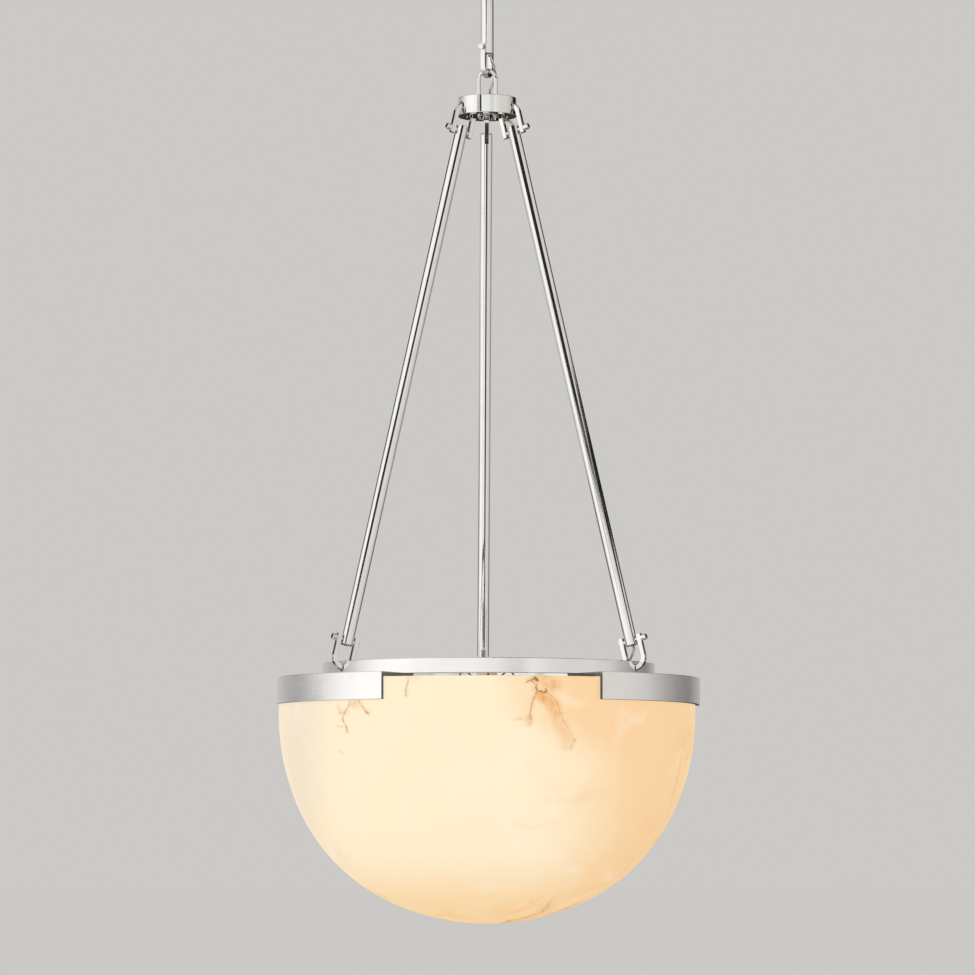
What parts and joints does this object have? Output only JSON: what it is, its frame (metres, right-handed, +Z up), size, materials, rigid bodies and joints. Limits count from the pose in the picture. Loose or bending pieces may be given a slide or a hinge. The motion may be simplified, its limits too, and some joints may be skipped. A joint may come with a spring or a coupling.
{
  "type": "dome pendant light",
  "caption": "Ceiling pendant with a stone half bowl hung below a metal ring on three tubular rods, which meet at a hub linked to a stem and a round canopy.",
  "frame": {"origin": "centre of the mounting strap's top face, which lies against the ceiling", "axes": "+Z up to the ceiling, +X to the viewer's right, +Y away from the viewer"},
  "size_m": [0.5108, 0.5054, 1.353],
  "materials": {
    "polished_nickel": "polished nickel plate",
    "zinc_steel": "zinc plated",
    "alabaster": "honed, translucent, lit from inside",
    "dark_rubber": "matt",
    "clear_washer": "soft matt",
    "porcelain": "glazed",
    "opal_glass": "opal, lit",
    "brass_fitting": "turned",
    "terminal_plastic": "moulded",
    "cable_sheath": "smooth sheath"
  },
  "bodies": {
    "ceiling_fitting": {"mounting_strap": "zinc_steel", "stem_coupling": "polished_nickel", "coupling_rivets": "zinc_steel", "stem_set_screws": "zinc_steel", "canopy": "polished_nickel", "canopy_studs": "zinc_steel", "canopy_nuts": "polished_nickel", "stem_collar": "polished_nickel", "stem_tube": "polished_nickel", "supply_terminal": "terminal_plastic", "cable_stem": "cable_sheath"},
    "top_link": {"top_shackle": "polished_nickel", "top_pin": "polished_nickel", "cable_link": "cable_sheath"},
    "hub": {"hub_body": "polished_nickel", "hub_loop": "polished_nickel", "loop_nuts": "polished_nickel", "hub_grommet": "dark_rubber", "cable_hub": "cable_sheath", "upper_shackle_back": "polished_nickel", "upper_pin_back": "polished_nickel", "upper_shackle_left": "polished_nickel", "upper_pin_left": "polished_nickel", "upper_shackle_right": "polished_nickel", "upper_pin_right": "polished_nickel"},
    "rod_back": {"rod_back": "polished_nickel"},
    "rod_left": {"rod_left": "polished_nickel"},
    "rod_right": {"rod_right": "polished_nickel", "cable_rod": "cable_sheath"},
    "bowl_assembly": {"lower_shackle_back": "polished_nickel", "lower_pin_back": "polished_nickel", "lower_shackle_left": "polished_nickel", "lower_pin_left": "polished_nickel", "lower_shackle_right": "polished_nickel", "lower_pin_right": "polished_nickel", "suspension_ring": "polished_nickel", "rim_bracket_back": "polished_nickel", "rim_bracket_left": "polished_nickel", "rim_bracket_right": "polished_nickel", "bracket_screws": "polished_nickel", "rim_pads": "dark_rubber", "bowl": "alabaster", "bowl_screws": "polished_nickel", "bowl_washers": "clear_washer", "lamp_plate": "polished_nickel", "plate_screws": "polished_nickel", "lamp_holder_1": "porcelain", "lamp_holder_2": "porcelain", "lamp_holder_3": "porcelain", "bulb_1": "opal_glass", "bulb_2": "opal_glass", "bulb_3": "opal_glass", "holder_nipples": "brass_fitting", "holder_nuts": "brass_fitting", "terminal_box": "terminal_plastic", "terminal_cover": "terminal_plastic", "cable_drop": "cable_sheath", "lamp_leads": "cable_sheath"}
  },
  "joints": [
    {"name": "stem_pin_swing", "type": "hinge", "parent": "ceiling_fitting", "child": "top_link", "pos_m": [0, 0, -0.2945], "axis": [-0.3907, -0.9205, 0], "range_deg": [-45, 45], "deforming": ["cable_link"]},
    {"name": "link_swing", "type": "hinge", "parent": "top_link", "child": "hub", "pos_m": [0, 0, -0.3209], "axis": [0.9205, -0.3907, 0], "range_deg": [-45, 45], "deforming": ["cable_link"]},
    {"name": "bowl_twist", "type": "hinge", "parent": "hub", "child": "bowl_assembly", "pos_m": [0, 0, -1.03839], "axis": [0, 0, 1], "range_deg": [-3, 3]},
    {"name": "rod_back_lean", "type": "hinge", "parent": "hub", "child": "rod_back", "pos_m": [0, 0.03653, -0.39806], "axis": [0, 0.9695, 0.2452], "range_deg": [-1, 1]},
    {"name": "rod_left_lean", "type": "hinge", "parent": "hub", "child": "rod_left", "pos_m": [-0.03163, -0.01826, -0.39806], "axis": [-0.8396, -0.4847, 0.2452], "range_deg": [-1, 1]},
    {"name": "rod_right_lean", "type": "hinge", "parent": "hub", "child": "rod_right", "pos_m": [0.03163, -0.01826, -0.39806], "axis": [0.8396, -0.4847, 0.2452], "range_deg": [-1, 1]}
  ],
  "couplings": [
    {"joint": "rod_back_lean", "follows": "bowl_twist", "ratio": 0.3023},
    {"joint": "rod_left_lean", "follows": "bowl_twist", "ratio": 0.3023},
    {"joint": "rod_right_lean", "follows": "bowl_twist", "ratio": 0.3023}
  ]
}
